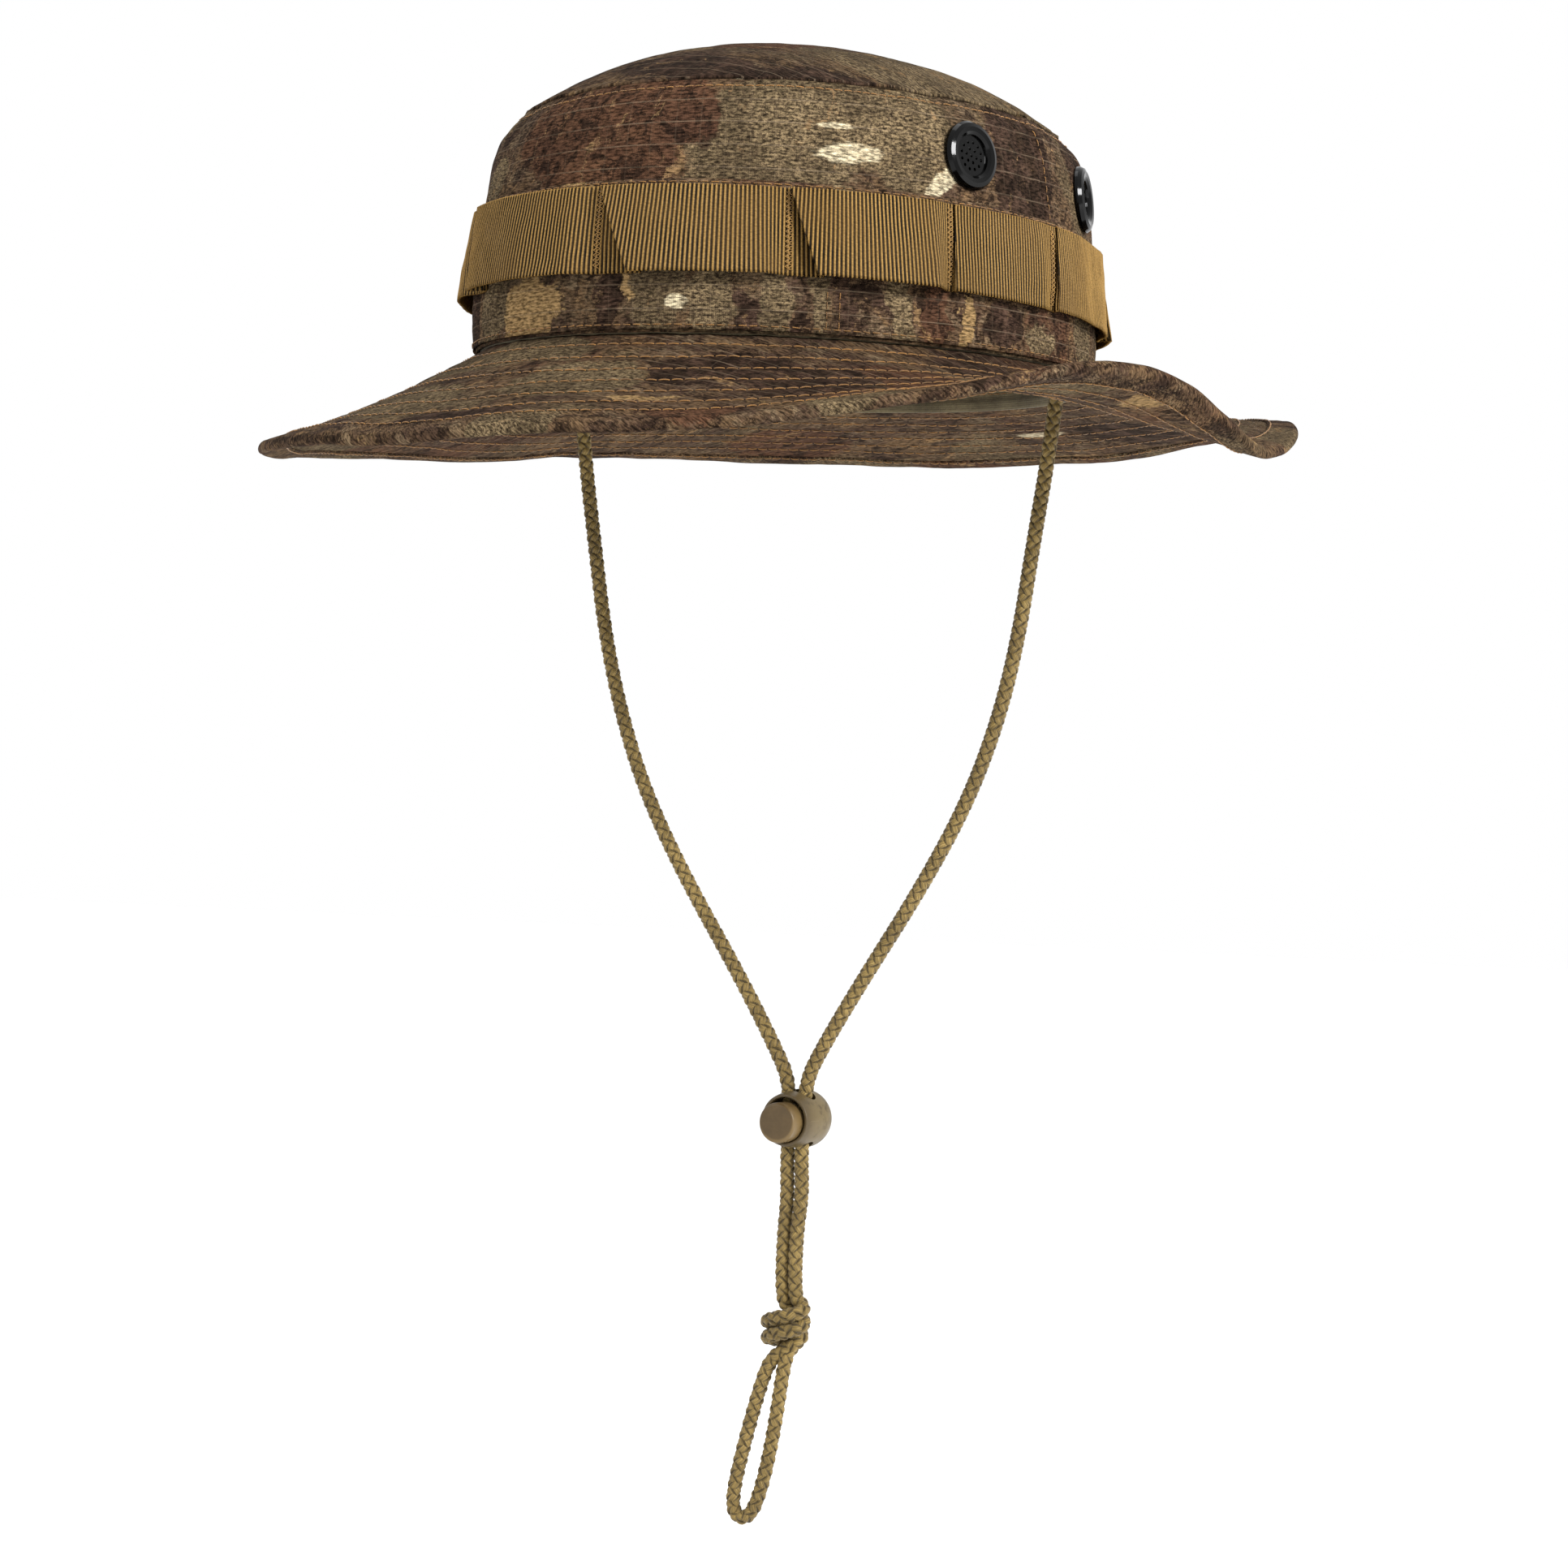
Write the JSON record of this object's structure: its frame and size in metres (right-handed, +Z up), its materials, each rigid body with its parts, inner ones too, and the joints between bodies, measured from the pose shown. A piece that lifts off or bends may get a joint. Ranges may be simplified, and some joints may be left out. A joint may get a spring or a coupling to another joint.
{
  "type": "boonie hat",
  "caption": "Soft cloth sun hat with a round stitched brim, a loop webbing band, side vents and a hanging chin cord with a sprung cord lock.",
  "frame": {"origin": "centre of the head opening at the height of the seam between crown and brim", "axes": "+Z up through the crown, the hat faces -Y, +X is the wearer's left"},
  "size_m": [0.3058, 0.3498, 0.4535],
  "materials": {
    "camouflage_cloth": "matt ripstop weave with a brown, olive and tan print",
    "lining_tape": "matt woven tape",
    "sweatband_cloth": "matt cotton",
    "interlining": "matt non-woven",
    "label": "smooth blank satin tape",
    "webbing": "ribbed grosgrain tape",
    "thread": "sewing thread",
    "vent_plastic": "gloss black",
    "cord": "braided cord with a slight sheen",
    "lock_plastic": "satin moulded plastic",
    "button_plastic": "satin moulded plastic",
    "spring_steel": "bright wire"
  },
  "bodies": {
    "hat": {"crown_side_front": "camouflage_cloth", "crown_side_back": "camouflage_cloth", "crown_top": "camouflage_cloth", "crown_band": "camouflage_cloth", "brim_upper": "camouflage_cloth", "brim_lower": "camouflage_cloth", "brim_binding": "camouflage_cloth", "crown_seam_tape": "lining_tape", "sweatband": "sweatband_cloth", "care_label": "label", "brim_interlining": "interlining", "loop_webbing": "webbing", "webbing_tacks": "thread", "vent_cap_left_front": "vent_plastic", "vent_washer_left_front": "vent_plastic", "vent_cap_left_back": "vent_plastic", "vent_washer_left_back": "vent_plastic", "vent_cap_right_front": "vent_plastic", "vent_washer_right_front": "vent_plastic", "vent_cap_right_back": "vent_plastic", "vent_washer_right_back": "vent_plastic"},
    "chin_cord": {"chin_cord_left": "cord", "chin_cord_right": "cord", "chin_cord_loop": "cord", "chin_cord_knot": "cord"},
    "cord_lock": {"lock_body": "lock_plastic", "lock_spring": "spring_steel"},
    "lock_button": {"lock_plunger": "button_plastic"}
  },
  "joints": [
    {"name": "chin_cord_swing", "type": "hinge", "parent": "hat", "child": "chin_cord", "pos_m": [0, 0.015, -0.0055], "axis": [1, 0, 0], "range_deg": [-70, 70]},
    {"name": "lock_slide", "type": "slide", "parent": "chin_cord", "child": "cord_lock", "axis": [-0.0314, 0, -0.9995], "range_m": [0, 0.044]},
    {"name": "button_press", "type": "slide", "parent": "cord_lock", "child": "lock_button", "axis": [0, 1, 0], "range_m": [0, 0.003], "stiffness_N_per_m": 500, "springref_m": -0.004, "deforming": ["lock_spring"]}
  ]
}
